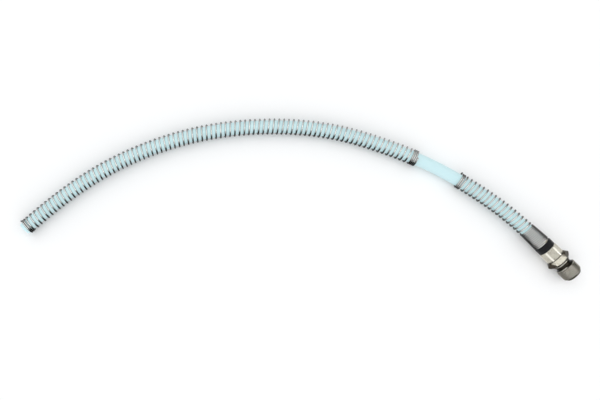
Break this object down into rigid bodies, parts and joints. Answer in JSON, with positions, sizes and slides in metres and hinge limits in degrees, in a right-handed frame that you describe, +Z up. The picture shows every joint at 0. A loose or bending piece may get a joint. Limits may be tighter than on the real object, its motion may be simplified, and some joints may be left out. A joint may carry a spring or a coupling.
{
  "type": "hose assembly",
  "caption": "Smooth air hose in a low arch inside two wire spring guards, with a hex clamp nut, a black collar and a male pipe-threaded end fitting.",
  "frame": {"origin": "middle of the assembly's footprint, on the floor that it lies on", "axes": "+X along the arch's chord from the open hose end to the fitting, +Y towards the arch's crown, +Z up from the floor"},
  "size_m": [0.5805, 0.169, 0.0245],
  "materials": {
    "hose": "gloss",
    "spring_wire": "polished",
    "collar": "gloss",
    "nut": "satin",
    "body": "satin"
  },
  "bodies": {
    "root": {"hose": "hose", "long_spring_guard": "spring_wire", "short_spring_guard": "spring_wire", "spring_collar": "collar", "clamp_nut": "nut", "fitting_body": "body"}
  },
  "joints": []
}
